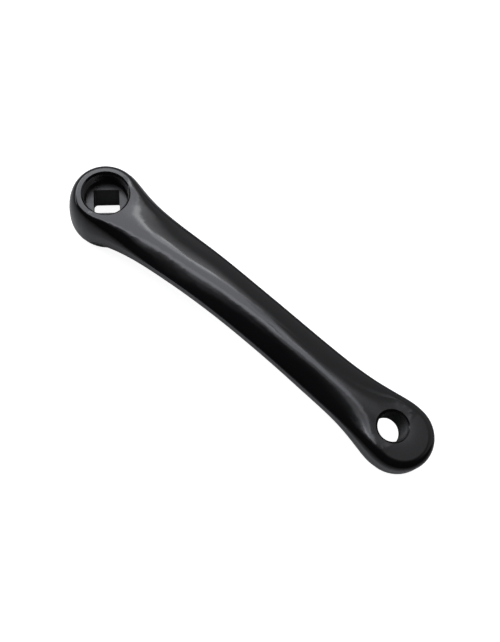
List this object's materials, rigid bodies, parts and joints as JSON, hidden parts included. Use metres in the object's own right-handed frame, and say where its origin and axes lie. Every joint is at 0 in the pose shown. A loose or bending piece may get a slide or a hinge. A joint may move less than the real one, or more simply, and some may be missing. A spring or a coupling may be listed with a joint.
{
  "type": "bicycle crank arm",
  "caption": "Left bicycle crank arm, forged in one piece, with a square taper socket in a counterbored boss and a threaded eye for the pedal.",
  "frame": {"origin": "on the spindle axis, at the inner face of the boss", "axes": "+X along the arm towards the pedal axis, +Z along the spindle axis, out from the bicycle"},
  "size_m": [0.2089, 0.0364, 0.0343],
  "materials": {
    "black_finish": "smooth semi-gloss black over forged aluminium"
  },
  "bodies": {
    "root": {"crank_arm": "black_finish"}
  },
  "joints": []
}
